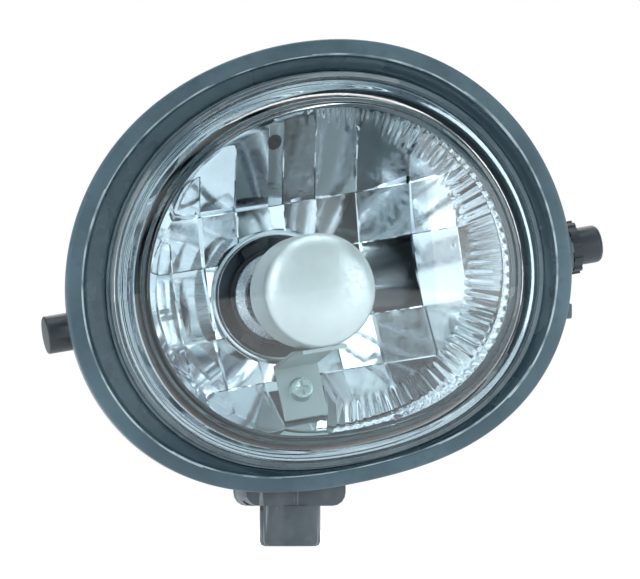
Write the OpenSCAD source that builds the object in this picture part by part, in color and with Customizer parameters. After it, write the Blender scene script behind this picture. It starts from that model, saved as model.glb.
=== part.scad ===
// Fog light with an egg-shaped rim, a clear fluted lens, a chromed reflector, a glare cap over
// the bulb, two pivot bushes at the sides and an aim adjuster under the housing.
//
// Frame: the beam leaves along -Y, +Z is up, +X is to the right as seen from the front.
// The origin is where the beam's axis crosses the line through the two pivot pins.

/* [Rim] */
// Mean radius of the rim's outline
rim_r = 53.8; // [50:0.1:66]
// How oval the outline is: half the difference between its long and short radius
rim_oval = 4.2; // [0:0.1:6]
// How much one side of the outline bulges, like an egg
rim_egg = 1.0; // [0:0.1:2]
// How much the outline's flanks are flattened
rim_flat = 0.45; // [0:0.05:1]
// Turn of the oval's long axis, seen from the front
rim_turn = 14.3; // [0:0.1:30]
// Distance from the pivot line forward to the rim's front face
rim_ahead = 12; // [11:0.1:15]
// Width of the flat lip round the rim
lip_w = 3.6; // [2.5:0.1:4.2]
// Thickness of the lip
lip_t = 4; // [3:0.1:5]

/* [Housing] */
// Wall of the housing
wall = 2.5; // [2:0.1:3.2]
// Room between the reflector's bulb hole and the inside of the back wall
back_room = 2; // [1.8:0.1:4]
// Outer radius of the collar round the bulb hole
collar_r = 20; // [19.6:0.1:24]
// Number of gussets on the collar between one reflector screw and the next
gussets = 2; // [2:2:4]

/* [Lens] */
// Height of the lens from the rim's face to its shoulder
lens_h = 22; // [16:0.5:27]
// Rise of the domed front above the shoulder
lens_dome = 4.6; // [2:0.1:7]
// Thickness of the lens
lens_t = 2.4; // [1.8:0.1:3]
// How far the side of the lens leans in from its foot to its shoulder
lens_lean = 6.0; // [4:0.1:8]
// Gap round the foot of the lens for the sealant
seal_gap = 0.3; // [0.1:0.05:0.5]

/* [Reflector] */
// Depth of the bowl from its front edge to the bulb hole
bowl_depth = 28.5; // [25:0.5:30]
// Radius of the bulb hole in the bowl
hole_r = 13.9; // [13.7:0.1:16]
// Thickness of the bowl
bowl_t = 2; // [1.5:0.1:2.4]
// Radius of the small vent hole
vent_r = 1.6; // [1:0.1:2.2]
// Roll of the reflector, the glare cap's strap and its screw about the beam
roll = 9.6; // [0:0.1:15]

/* [Glare cap] */
// Radius of the cap
cap_r = 12.5; // [10:0.1:15]
// Depth of the cap
cap_depth = 19; // [15:0.5:21]
// Distance from the cap's front to the inside of the lens
cap_gap = 4; // [3:0.1:6]
// Sheet thickness of the cap and its strap
sheet = 0.8; // [0.5:0.1:1.2]
// Width of the strap
strap_w = 10; // [6:0.1:12]
// Length of the strap's foot
foot_l = 13; // [9:0.5:14]
// Lean of the strap's foot, its lower end forward
foot_slope = 14; // [0:1:30]

/* [Pivots] */
// Tilt of the line through the pivot pins
pivot_tilt = 9.7; // [0:0.1:12]
// How far the left bush stands out past the rim
left_out = 2.8; // [1.5:0.1:5]
// How far the right bush stands out past the rim
right_out = 10.5; // [9:0.1:14]
// Length of the left bush
left_bush_l = 9; // [7:0.1:11]
// Length of the right bush
right_bush_l = 7.6; // [6:0.1:10]
// Outer radius of the bushes
bush_r = 4.2; // [3.6:0.1:5.1]
// Radius of the steel pins
pin_r = 2.4; // [2:0.1:2.9]

/* [Aim adjuster] */
// Width of the gear case
case_w = 22.6; // [21:0.1:28]
// Depth of the gear case, front to back
case_d = 12.2; // [12:0.1:15]
// How far the underside of the gear case lies below the rim
case_drop = 3.6; // [3.5:0.1:5]
// Radius of the round barrel below the case
barrel_r = 6.75; // [5.6:0.05:8.2]
// Length of the barrel below the case
barrel_l = 9; // [7.5:0.1:11]
// Distance that the aim screw can move each way
aim_travel = 4; // [3:0.1:4.8]
// Core radius of the aim screw
aim_r = 2; // [1.7:0.05:2.2]
// Radius of the ball at the end of the aim screw
ball_r = 3.5; // [3:0.1:4.3]
// Radius of the drive shaft
drive_r = 2.4; // [2:0.1:2.9]

/* [Bulb] */
// Radius of the bulb's glass
glass_r = 6; // [5:0.1:7.2]
// Radius of the bulb's nose, which turns in the socket
nose_r = 11.1; // [10.6:0.1:11.6]
// How far the locking lugs stand out from the nose
lug_out = 2.1; // [1.6:0.1:2.3]
// Turn that frees the bulb
unlock_turn = 35; // [30:1:45]
// Radius of the flange behind the socket
flange_r = 16; // [15:0.1:18]
// Width of the connector shroud
plug_w = 19; // [18:0.1:23]
// Depth of the connector shroud, front to back
plug_d = 9.4; // [8.6:0.1:11.4]
// Length of the connector shroud
plug_l = 15; // [13:0.5:18]

/* [Clearances] */
// Clearance of a piece that turns or slides in another
run = 0.06; // [0.03:0.01:0.1]
// Gap between neighbouring pieces that stay still
gap = 0.1; // [0.05:0.05:0.3]

/* [Hidden] */
steps = 60;
$fn = 48;

// The outline's phases, which set where it bulges and where it is flattened
egg_turn = 23;
flat_turn = 33.1;

// Centres of the outlines in X and Z; a round outline is centred on the beam
rim_c = [4, 5.4];
foot_c = [5.6, 4.6];
face_c = [1.6, 3.5];
bowl_c = [4.8, 4.6];
side_c = [4.2, 4.7];

// How much of the rim's egg shape each outline takes: 1 is all of it and 0 is a circle
foot_k = 0.72;
face_k = 0.65;

// Distance along the pivot line from the origin to the end of each bush
left_reach = outline(180 + pivot_tilt, rim_r, 1) - rim_c[0] + left_out;
right_reach = outline(pivot_tilt, rim_r, 1) + rim_c[0] + right_out;

// Places along the beam
rim_y = -rim_ahead;
mouth_y = rim_y + 2.5;
groove_y = rim_y + lip_t + 0.4;
step_y = groove_y + 2;
corner_y = 7;
bowl_y = rim_y - 0.5;
hole_y = bowl_y + bowl_depth;
floor_y = hole_y + back_room;
back_y = floor_y + wall;
collar_l = 7;
collar_y = back_y + collar_l;
shoulder_y = rim_y - lens_h;
apex_y = shoulder_y - lens_dome;
cap_y = apex_y + lens_t + cap_gap;

// The lens's foot and the groove that it stands in
foot_r = rim_r - 7.2;
foot_t = 2.2;
groove_out_r = foot_r + seal_gap;
groove_in_r = foot_r - foot_t - seal_gap;
face_r = foot_r - lens_lean;
seal_t = 0.6;

// The housing's side wall and the reflector's edge follow the groove
inner_r = groove_in_r - 1.5;
side_r = inner_r + 0.6;
bowl_r = inner_r - 4.4;
bowl_reach = bowl_c[0] + outline(0, bowl_r, face_k);
skirt_t = 1.3;

// Bulb socket
socket_r = collar_r - wall - 0.4;
socket_y = hole_y + bowl_t + 0.5;
socket_wall = 3.5;
lug_t = 2.2;
lug_w = 5;
lug_y = socket_y - gap - lug_t - 0.2;
seal_r = nose_r + 2.8;

// Reflector's posts and screws
post_circle = hole_r + 10.2;
post_r = 3.1;
back_r = post_circle + post_r + 4;
self_tap_r = 1.2;

// Aim adjuster, whose case stands just behind the flare of the rim
case_front = step_y + 1.1;
adj_y = case_front + case_d / 2;
case_back = case_front + case_d;
rim_low = rim_c[1] - outline(-90, rim_r, 1);
housing_low = side_c[1] - outline(-90, side_r, foot_k);
case_low = rim_low - case_drop;
case_top = housing_low - 0.6;
case_h = case_top - case_low;
gear_teeth = 12;
gear_r = 4;
tooth_out = 0.55;
tooth_in = 0.75;
gear_small = 2.9;
gear_hub = gear_r - 0.6;
nut_hub = gear_r - 1.1;
gear_bore = 4.85;
gear_z = case_low + gear_bore + 1.1;
case_screw_x = (gear_bore + case_w / 2) / 2 + 0.1;
cover_t = 2;
guide_r = aim_r + 1.8;
guide_l = 3 * aim_travel + 1;
guide_y = case_back + cover_t;
key_t = 2;
key_y = guide_y + 1.8 + aim_travel + key_t / 2;
key_out = 0.6;
ball_y = guide_y + guide_l + 2.9 + aim_travel + ball_r;
head_up = 1.2;
head_t = 1.6;
head_r = drive_r + 1.5;
shaft_seal_t = 1.6;
case_head_r = 2.3;
cover_screw_r = 0.9;
cover_screw_up = 3.4;

// Bulb
plug_y = collar_y + 3;
plug_top = -flange_r / 2;
plug_wall = 1.4;
filament_l = 5;
filament_y = rim_y + 1;

// The seat of the strap's foot, measured down from the beam: its lower corners meet the bowl
foot_half = foot_l / 2;
foot_at = hole_r + 8;
foot_corner = norm([foot_at + foot_half * cos(foot_slope), strap_w / 2 + 1]);
foot_y = bowl_surface(foot_corner) + foot_half * sin(foot_slope) - 0.1;
screw_r = 1.4;

// Breather on the back wall, in X and Z
breather_at = [-collar_r * 0.62, collar_r * 1.05];
nipple_r = 2.2;
nipple_l = 6;

// Radius of an outline at angle a: a mean radius r with k of the rim's egg shape
function outline(a, r, k) =
    r + k * (rim_oval * cos(2 * (a - rim_turn))
           + rim_egg * cos(3 * (a + egg_turn))
           + rim_flat * cos(4 * (a + flat_turn)));

// A list in the opposite order
function reversed(v) = [for (i = [len(v) - 1 : -1 : 0]) v[i]];

// One ring of points across the beam at y, with centre c
function ring(y, r, k, c) = [
    for (i = [0 : steps - 1])
        let (a = 360 * i / steps, q = outline(a, r, k))
            [c[0] + q * cos(a), y, c[1] + q * sin(a)]
];

// Place along the beam of the reflector's surface, a paraboloid, at distance q from the beam
function bowl_surface(q) =
    hole_y - (bowl_depth - 1.5) * (q * q - hole_r * hole_r) / (bowl_reach * bowl_reach - hole_r * hole_r);

// A solid whose skin runs through rings of points. A loop of rings has a hole through it; an
// open run of rings is closed by its first and last ring.
module skin(rings, loop = true) {
    n = steps;
    m = len(rings);
    sides = [
        for (j = [0 : loop ? m - 1 : m - 2], i = [0 : n - 1])
            let (a = j * n + i, b = j * n + (i + 1) % n,
                 c = ((j + 1) % m) * n + (i + 1) % n, d = ((j + 1) % m) * n + i)
                each [[a, b, c], [a, c, d]]
    ];
    ends = loop ? [] : [[for (i = [n - 1 : -1 : 0]) i], [for (i = [0 : n - 1]) (m - 1) * n + i]];
    polyhedron([for (r = rings) each r], concat(sides, ends));
}

// A cylinder along +Y from y0 to y1
module rod_y(y0, y1, r) {
    translate([0, y0, 0])
        rotate([-90, 0, 0])
            cylinder(h = y1 - y0, r = r);
}

// Turns a profile of [radius, y] points about the beam
module turned(points) {
    rotate([-90, 0, 0])
        rotate_extrude()
            polygon(points);
}

// Puts a piece drawn along +Z on the pivot line, with +Z pointing outwards on side = 1 or -1
module on_pivot(side) {
    rotate([0, side * 90 - pivot_tilt, 0])
        children();
}

// Pan-head screw that points along +Z, with its head's underside at z = 0 and a cross recess
module pan_screw(shank_r, length, head_r, head_h) {
    cylinder(h = length, r = shank_r);
    difference() {
        translate([0, 0, -head_h])
            cylinder(h = head_h, r1 = head_r * 0.8, r2 = head_r);
        for (a = [0, 90])
            rotate([0, 0, a])
                translate([-head_r * 0.55, -0.35, -head_h - 1])
                    cube([head_r * 1.1, 0.7, 1 + head_h * 0.6]);
    }
}

// Outline of one bevel gear's large end
module gear_outline(phase) {
    pitch = 360 / gear_teeth;
    tip = pitch * 0.13;
    root = pitch * 0.355;
    polygon([
        for (i = [0 : gear_teeth - 1], p = [[-root, -tooth_in], [-tip, tooth_out], [tip, tooth_out], [root, -tooth_in]])
            let (a = phase + i * pitch + p[0], q = gear_r + p[1])
                [q * cos(a), q * sin(a)]
    ]);
}

// Bevel teeth whose cone ends at the origin, with the large end at z = gear_r
module bevel_teeth(phase) {
    translate([0, 0, gear_r])
        mirror([0, 0, 1])
            linear_extrude(height = gear_r - gear_small, scale = gear_small / gear_r)
                gear_outline(phase);
}

// ---------------------------------------------------------------- housing, lens, reflector

module housing_shell() {
    skin(reversed([
        ring(rim_y + 0.8, rim_r, 1, rim_c),
        ring(rim_y, rim_r - 0.8, 1, rim_c),
        ring(rim_y, rim_r - lip_w, 0.95, rim_c),
        ring(rim_y + 1.2, rim_r - lip_w - 0.8, 0.93, rim_c),
        ring(mouth_y, groove_out_r, foot_k, foot_c),
        ring(groove_y, groove_out_r, foot_k, foot_c),
        ring(groove_y, groove_in_r, foot_k, foot_c),
        ring(mouth_y, groove_in_r, foot_k, foot_c),
        ring(mouth_y, inner_r, foot_k, foot_c),
        ring(step_y, side_r - wall, foot_k, side_c),
        ring(corner_y, side_r - wall - 0.3, foot_k, side_c),
        ring(floor_y - 3, back_r + 1, 0.4, 0.4 * foot_c),
        ring(floor_y, back_r - 1.5, 0.3, 0.3 * foot_c),
        ring(floor_y, collar_r - 1, 0, [0, 0]),
        ring(back_y, collar_r - 1, 0, [0, 0]),
        ring(back_y, back_r, 0.3, 0.3 * foot_c),
        ring(back_y - 1, back_r + 2.2, 0.35, 0.35 * foot_c),
        ring(corner_y + 1.5, side_r - 0.5, foot_k, side_c),
        ring(step_y + 1, side_r, foot_k, side_c),
        ring(step_y, groove_out_r + 1.8, 0.8, foot_c * 0.9),
        ring(rim_y + lip_t, groove_out_r + 2, 0.85, foot_c * 0.9),
        ring(rim_y + lip_t, rim_r - 0.4, 1, rim_c)
    ]));
}

// Distance along the pivot line from the origin to the housing's side wall
function wall_reach(side) =
    outline(side > 0 ? pivot_tilt : 180 + pivot_tilt, side_r, foot_k) + side * side_c[0];

module pivot_boss(side, reach) {
    wall_at = wall_reach(side) - 1.6;
    on_pivot(side)
        translate([0, 0, wall_at])
            cylinder(h = reach - wall_at, r = bush_r + 1.8);
    rotate([0, -pivot_tilt, 0])
        translate([side > 0 ? wall_at : -reach, groove_y + 0.8, -1.2])
            cube([reach - wall_at, -groove_y, 2.4]);
}

module adjuster_pad() {
    pad_top = housing_low + 1.5;
    translate([-case_w / 2 + 1, case_front + 1.5, case_top])
        cube([case_w - 2, case_d - 3, pad_top - case_top]);
}

module housing() {
    left_end = left_reach - left_bush_l - gap;
    right_end = right_reach - right_bush_l - gap;
    color([0.16, 0.19, 0.21])
    difference() {
        union() {
            housing_shell();
            difference() {
                rod_y(floor_y, collar_y, collar_r);
                rod_y(floor_y - 3, collar_y + 1, collar_r - 2);
            }
            pivot_boss(1, right_end);
            pivot_boss(-1, left_end);
            adjuster_pad();
            for (a = [60 : 120 : 300], i = [1 : gussets])
                rotate([0, a + 120 * i / (gussets + 1), 0])
                    translate([0, 0, -0.9])
                        linear_extrude(1.8)
                            polygon([[collar_r - 1, back_y - 1], [back_r - 1, back_y - 1], [collar_r - 1, collar_y - 1]]);
            locating_tab();
            breather_nipple();
        }
        rod_y(floor_y - 4, collar_y + 1, socket_r + gap);
        on_pivot(1)
            translate([0, 0, right_end - 12])
                cylinder(h = 20, r = pin_r);
        on_pivot(-1)
            translate([0, 0, left_end - 5])
                cylinder(h = 20, r = pin_r);
        for (a = [60 : 120 : 300])
            rotate([0, a, 0])
                translate([post_circle, 0, 0])
                    rod_y(floor_y - 1, back_y + 1, self_tap_r + 0.15);
        for (x = [-case_screw_x, case_screw_x])
            translate([x, adj_y, case_top - 1])
                cylinder(h = 1 + wall, r = self_tap_r);
        breather_bore();
    }
}

// A small tab on the right edge of the lip that places the lamp in its bracket
module locating_tab() {
    tab_a = -9;
    q = outline(tab_a, rim_r, 1);
    translate([rim_c[0] + q * cos(tab_a) - 2, rim_y + lip_t - 1.5, rim_c[1] + q * sin(tab_a) - 1.7])
        cube([3.4, 3.5, 3.4]);
}

module breather_nipple() {
    translate([breather_at[0], 0, breather_at[1]])
        rod_y(floor_y + 0.5, back_y + nipple_l, nipple_r);
}

module breather_bore() {
    translate([breather_at[0], 0, breather_at[1]])
        rod_y(floor_y - 3, back_y + nipple_l + 1, 1.1);
}

module breather_cap() {
    color([0.06, 0.06, 0.065])
        translate([breather_at[0], 0, breather_at[1]])
            difference() {
                rod_y(back_y + gap, back_y + nipple_l + 3.4, nipple_r + 1.9);
                rod_y(back_y, back_y + nipple_l + 0.3, nipple_r + 0.02);
                rod_y(back_y, back_y + nipple_l + 2, nipple_r - 0.6);
                translate([0, back_y + nipple_l + 1.1, 0])
                    cylinder(h = 6, r = 0.6);
            }
}

module breather_disc() {
    color([0.9, 0.9, 0.88])
        translate([breather_at[0], 0, breather_at[1]])
            rod_y(back_y + nipple_l, back_y + nipple_l + 0.25, nipple_r - 0.2);
}

module lens() {
    dome = [0.86, 0.66, 0.44, 0.2, 0.02];
    outside = concat(
        [ring(groove_y - seal_t, foot_r, foot_k, foot_c),
         ring(rim_y - 0.2, foot_r, foot_k, foot_c),
         ring(rim_y - 1, foot_r - 1.4, foot_k, foot_c),
         ring(shoulder_y + 2.6, face_r + 0.9, face_k, face_c),
         ring(shoulder_y + 0.9, face_r, face_k, face_c),
         ring(shoulder_y, face_r - 1.8, face_k, face_c)],
        [for (t = dome) ring(apex_y + lens_dome * t * t, face_r * t, face_k * t, face_c)]);
    inside = concat(
        [ring(groove_y + 1, foot_r - foot_t, foot_k, foot_c),
         ring(rim_y + 1.2, foot_r - foot_t, foot_k, foot_c),
         ring(rim_y + 0.4, foot_r - foot_t - 1.2, foot_k, foot_c),
         ring(shoulder_y + lens_t + 0.9, face_r - lens_t - 0.6, face_k, face_c)],
        [for (t = dome)
            ring(apex_y + lens_t + lens_dome * t * t, (face_r - lens_t) * t, face_k * t, face_c)]);
    color([0.75, 0.88, 0.9, 0.35])
        difference() {
            skin(reversed(outside), false);
            skin(reversed(inside), false);
        }
}

module lens_seal() {
    color([0.1, 0.1, 0.11])
        skin([
            ring(groove_y - seal_t, groove_out_r, foot_k, foot_c),
            ring(groove_y, groove_out_r, foot_k, foot_c),
            ring(groove_y, groove_in_r, foot_k, foot_c),
            ring(groove_y - seal_t, groove_in_r, foot_k, foot_c)
        ]);
}

// Ring of the reflector's surface, from the bulb hole at t = 0 to its edge at t = 1. The rear
// surface, at back = 1, lies behind the front by the bowl's thickness.
function bowl_ring(t, back) = [
    for (p = ring(0, hole_r + (bowl_r - hole_r) * t + back * skirt_t, face_k * t, bowl_c * t))
        [p[0], bowl_surface(norm([p[0], p[2]])) + back * (bowl_t + skirt_t * t), p[2]]
];

// Puts a piece drawn on the seat of the strap: +Y is the seat's normal, into the bowl
module on_seat() {
    rotate([0, -roll, 0])
        translate([0, foot_y, -foot_at])
            rotate([-foot_slope, 0, 0])
                children();
}

// The [y, z] place of a point that lies y behind the seat and z up along it
function seat_point(y, z) = [
    foot_y + y * cos(foot_slope) + z * sin(foot_slope),
    -foot_at - y * sin(foot_slope) + z * cos(foot_slope)
];

// The pedestal between the seat and the bowl
module strap_seat() {
    top = foot_at - foot_half * cos(foot_slope) - 0.4;
    low = foot_at + foot_half * cos(foot_slope) + 0.4;
    rotate([0, -roll, 0])
        translate([-strap_w / 2 - 0.8, 0, 0])
            rotate([90, 0, 90])
                linear_extrude(strap_w + 1.6)
                    polygon([seat_point(0, foot_half + 0.4), seat_point(0, -foot_half - 0.4),
                             [bowl_surface(low) + 1.2, -low], [bowl_surface(top) + 1.2, -top]]);
}

module reflector() {
    vent_at = hole_r + 20.5;
    color([0.82, 0.86, 0.88])
    difference() {
        union() {
            skin(concat(
                [for (i = [0 : 6]) bowl_ring(i / 6, 0)],
                [ring(bowl_y, bowl_r, face_k, bowl_c),
                 ring(bowl_y, bowl_r + skirt_t, face_k, bowl_c)],
                [for (i = [6 : -1 : 0]) bowl_ring(i / 6, 1)]));
            difference() {
                rod_y(hole_y + bowl_t * 0.4, socket_y - gap, hole_r + 2.2);
                rod_y(hole_y - 1, socket_y + 1, hole_r);
            }
            for (a = [60 : 120 : 300])
                rotate([0, a, 0])
                    translate([post_circle, 0, 0])
                        rod_y(bowl_surface(post_circle) + 1.5, floor_y - gap, post_r);
            strap_seat();
        }
        for (a = [60 : 120 : 300])
            rotate([0, a, 0])
                translate([post_circle, 0, 0])
                    rod_y(floor_y - 6, floor_y + 1, self_tap_r);
        on_seat()
            rod_y(-1, 14, screw_r);
        translate([-3, 0, vent_at])
            rod_y(bowl_y, hole_y + 5, vent_r);
    }
}

module reflector_screws() {
    color([0.75, 0.76, 0.78])
        for (a = [60 : 120 : 300])
            rotate([0, a, 0])
                translate([post_circle, back_y, 0])
                    rotate([90, 0, 0])
                        pan_screw(self_tap_r, wall + 5, 2.9, 2);
}

// ---------------------------------------------------------------- glare cap

module glare_cap() {
    edge = cap_r * 0.32;
    drop = 2.6;
    color([0.86, 0.9, 0.9])
        turned(concat(
            [[0, cap_y]],
            [for (a = [90 : -15 : 0]) [cap_r - edge + edge * cos(a), cap_y + drop * (1 - sin(a))]],
            [[cap_r, cap_y + cap_depth], [cap_r - sheet, cap_y + cap_depth]],
            [for (a = [0 : 15 : 90])
                [cap_r - edge + (edge - sheet) * cos(a), cap_y + sheet + (drop - sheet) * (1 - sin(a))]],
            [[0, cap_y + sheet]]));
}

module cap_strap() {
    start = cap_y + cap_depth * 0.45;
    bend = cap_y + cap_depth + 1;
    top = cap_r + gap;
    color([0.8, 0.84, 0.84])
        difference() {
            union() {
                rotate([0, -roll, 0])
                    translate([-strap_w / 2, 0, 0])
                        rotate([90, 0, 90])
                            linear_extrude(strap_w)
                                polygon([
                                    [start, -top], [bend, -top], seat_point(-0.1, foot_half),
                                    seat_point(-0.9 * sheet, foot_half - 1), [bend - 0.4, -top - sheet],
                                    [start, -top - sheet]
                                ]);
                on_seat()
                    translate([-strap_w / 2, -sheet, -foot_half])
                        cube([strap_w, sheet, foot_l]);
            }
            on_seat()
                rod_y(-3, 3, screw_r + 0.2);
        }
}

module strap_screw() {
    color([0.72, 0.78, 0.76])
        on_seat()
            translate([0, -sheet - 0.02, 0])
                rotate([-90, 0, 0])
                    pan_screw(screw_r, 5, 2.9, 1.8);
}

// ---------------------------------------------------------------- pivots

module pin_on(side, reach, bush_l, bite) {
    on_pivot(side)
        translate([0, 0, reach - bush_l - gap - bite])
            cylinder(h = bush_l + gap + bite - 1.6, r = pin_r);
}

module left_pin() {
    color([0.55, 0.57, 0.6])
        pin_on(-1, left_reach, left_bush_l, 4.8);
}

module right_pin() {
    color([0.55, 0.57, 0.6])
        pin_on(1, right_reach, right_bush_l, 11.8);
}

// A bush with a flange at its inner end; it turns on its pin
module bush(side, reach, bush_l, round_end) {
    flange_t = 2;
    flange = bush_r + 1.4;
    on_pivot(side)
        translate([0, 0, reach - bush_l])
            difference() {
                union() {
                    rotate_extrude()
                        polygon(concat(
                            [[0, 0], [flange, 0], [flange, flange_t], [bush_r, flange_t]],
                            [for (i = [0 : 4]) let (a = 22.5 * i)
                                [bush_r - round_end + round_end * cos(a), bush_l - round_end + round_end * sin(a)]],
                            [[0, bush_l]]));
                    for (a = [0 : 30 : 330])
                        rotate([0, 0, a])
                            translate([flange - 0.4, -0.5, 0])
                                cube([0.8, 1, flange_t]);
                }
                translate([0, 0, -1])
                    cylinder(h = bush_l - 0.4, r = pin_r + run);
            }
}

module left_bush() {
    color([0.1, 0.11, 0.12])
        bush(-1, left_reach, left_bush_l, 0.4);
}

module right_bush() {
    color([0.1, 0.11, 0.12])
        bush(1, right_reach, right_bush_l, 1.4);
}

// ---------------------------------------------------------------- aim adjuster

// Puts a piece on the gear axis, which runs along +Y through the gears' apex
module at_gears() {
    translate([0, adj_y, gear_z])
        children();
}

// Outline of the case from the front, with its lower corners rounded
module case_outline() {
    corner = 3;
    w = case_w / 2;
    polygon(concat(
        [[-w, case_top], [w, case_top]],
        [for (i = [0 : 4]) let (a = -22.5 * i) [w - corner + corner * cos(a), case_low + corner + corner * sin(a)]],
        [for (i = [0 : 4]) let (a = -90 - 22.5 * i)
            [-w + corner + corner * cos(a), case_low + corner + corner * sin(a)]]));
}

module gear_case() {
    color([0.2, 0.22, 0.24])
    difference() {
        union() {
            translate([0, case_back, 0])
                rotate([90, 0, 0])
                    linear_extrude(case_d)
                        case_outline();
            translate([0, adj_y, case_low - barrel_l])
                rotate_extrude()
                    polygon([[0, 0], [barrel_r - 1.1, 0], [barrel_r - 0.3, 0.3], [barrel_r, 1.1],
                             [barrel_r, barrel_l], [0, barrel_l]]);
        }
        at_gears() {
            rod_y(-gear_bore * 0.6, case_d, gear_bore);
            rod_y(-case_d / 2 + 1, 0, aim_r + 0.4);
            translate([0, 0, -gear_bore - 0.15])
                cylinder(h = gear_bore, r = gear_bore - 0.1);
        }
        translate([0, adj_y, case_low - barrel_l - 1]) {
            cylinder(h = barrel_l + 3, r = drive_r + run);
            cylinder(h = 1 + head_up + head_t + 0.2, r = head_r + 0.5);
            cylinder(h = 1 + head_up + head_t + 0.2 + shaft_seal_t, r = drive_r + 1);
        }
        for (x = [-case_screw_x, case_screw_x]) {
            translate([x, adj_y, case_low - 1])
                cylinder(h = case_h + 2, r = self_tap_r + 0.15);
            translate([x, adj_y, case_low - 1])
                cylinder(h = 1 + case_h * 0.45, r = case_head_r + 0.15);
            translate([x, case_back - 4, gear_z + cover_screw_up])
                rod_y(0, 6, cover_screw_r);
        }
    }
}

module gear_cover() {
    color([0.24, 0.26, 0.28])
    difference() {
        union() {
            translate([0, case_back + cover_t, 0])
                rotate([90, 0, 0])
                    linear_extrude(cover_t - gap)
                        case_outline();
            translate([0, 0, gear_z])
                rod_y(case_back + gap, guide_y + guide_l + 2.4, guide_r + 1.5);
        }
        translate([0, 0, gear_z]) {
            rod_y(case_back - 1, guide_y + 1.4, nut_hub + run);
            rod_y(guide_y + 1.3, guide_y + guide_l + 3, guide_r);
            for (a = [0, 180])
                rotate([0, a, 0])
                    translate([guide_r - 0.5, guide_y + 1.3, -0.9])
                        cube([key_out + 0.7, guide_l - 0.2, 1.8]);
        }
        for (x = [-case_screw_x, case_screw_x])
            translate([x, 0, gear_z + cover_screw_up])
                rod_y(case_back - 1, case_back + cover_t + 1, cover_screw_r + 0.15);
    }
}

module case_screws() {
    head_h = 1.6;
    color([0.7, 0.71, 0.73])
        for (x = [-case_screw_x, case_screw_x])
            translate([x, adj_y, case_low + case_h * 0.45])
                pan_screw(self_tap_r, case_h * 0.55 + wall - 0.2, case_head_r, head_h);
}

module cover_screws() {
    color([0.7, 0.71, 0.73])
        for (x = [-case_screw_x, case_screw_x])
            translate([x, case_back + cover_t, gear_z + cover_screw_up])
                rotate([90, 0, 0])
                    pan_screw(cover_screw_r, cover_t + 3, 1.8, 1.3);
}

module drive_shaft() {
    head_z = case_low - barrel_l + head_up;
    color([0.62, 0.64, 0.66])
        translate([0, adj_y, 0])
            difference() {
                union() {
                    translate([0, 0, head_z])
                        cylinder(h = head_t, r = head_r);
                    translate([0, 0, head_z])
                        cylinder(h = gear_z - gear_bore - head_z, r = drive_r);
                    translate([0, 0, head_z])
                        cylinder(h = gear_z - gear_small - 0.2 - head_z, r = drive_r - 0.9);
                }
                for (a = [0, 90])
                    rotate([0, 0, a])
                        translate([-1.8, -0.5, head_z - 1])
                            cube([3.6, 1, 3.2]);
            }
}

module drive_pinion() {
    color([0.85, 0.83, 0.76])
        at_gears()
            difference() {
                rotate([180, 0, 0]) {
                    bevel_teeth(-90);
                    translate([0, 0, gear_r])
                        cylinder(h = gear_bore - gear_r, r = gear_hub);
                }
                translate([0, 0, -gear_bore - 1])
                    cylinder(h = gear_bore + 1, r = drive_r - 0.9);
            }
}

module drive_seal() {
    seal_z = case_low - barrel_l + head_up + head_t + 0.25;
    color([0.05, 0.05, 0.05])
        translate([0, adj_y, seal_z])
            difference() {
                cylinder(h = shaft_seal_t - 0.15, r = drive_r + 0.95);
                translate([0, 0, -1])
                    cylinder(h = shaft_seal_t + 2, r = drive_r + run);
            }
}

module gear_nut() {
    nut_end = cover_t + case_d / 2 + 0.8;
    color([0.85, 0.83, 0.76])
        at_gears()
            difference() {
                union() {
                    rotate([-90, 0, 0])
                        bevel_teeth(90 + 180 / gear_teeth);
                    rod_y(gear_r, case_d / 2 - run, gear_hub);
                    rod_y(gear_r, nut_end, nut_hub);
                }
                rod_y(0, nut_end + 1, aim_r + run);
            }
}

module aim_screw() {
    color([0.66, 0.68, 0.7])
        translate([0, 0, gear_z]) {
            rod_y(adj_y - case_d / 2 + 1 + aim_travel + 0.4, ball_y - ball_r * 0.6, aim_r);
            translate([0, ball_y, 0])
                sphere(r = ball_r, $fn = 64);
        }
}

// The collar on the aim screw whose two wings slide in the cover's grooves
module aim_key() {
    color([0.85, 0.83, 0.76])
        translate([0, 0, gear_z])
            difference() {
                union() {
                    rod_y(key_y - key_t / 2, key_y + key_t / 2, guide_r - 0.25);
                    translate([-guide_r - key_out, key_y - key_t / 2, -0.7])
                        cube([2 * (guide_r + key_out), key_t, 1.4]);
                }
                rod_y(key_y - key_t, key_y + key_t, aim_r);
            }
}

module aim_seal() {
    color([0.05, 0.05, 0.05])
        translate([0, 0, gear_z])
            difference() {
                rod_y(guide_y + guide_l + 1.2, guide_y + guide_l + 2.4, guide_r - 0.02);
                rod_y(guide_y, guide_y + guide_l + 4, aim_r + run);
            }
}

// ---------------------------------------------------------------- bulb

// Three lugs or slots round the beam, turned by a
module lug_shapes(a, y0, y1, reach, width) {
    for (i = [0 : 2])
        rotate([0, a + 120 * i, 0])
            translate([0, y0, -width / 2])
                cube([reach, y1 - y0, width]);
}

module bulb_socket() {
    color([0.3, 0.31, 0.32])
        difference() {
            rod_y(socket_y, collar_y - 0.5, socket_r);
            rod_y(socket_y - 1, collar_y, nose_r + run);
            rod_y(socket_y + socket_wall, collar_y, seal_r + run);
            lug_shapes(unlock_turn, socket_y - 1, socket_y + socket_wall + 1, nose_r + lug_out + 0.35, lug_w + 0.8);
        }
}

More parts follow.
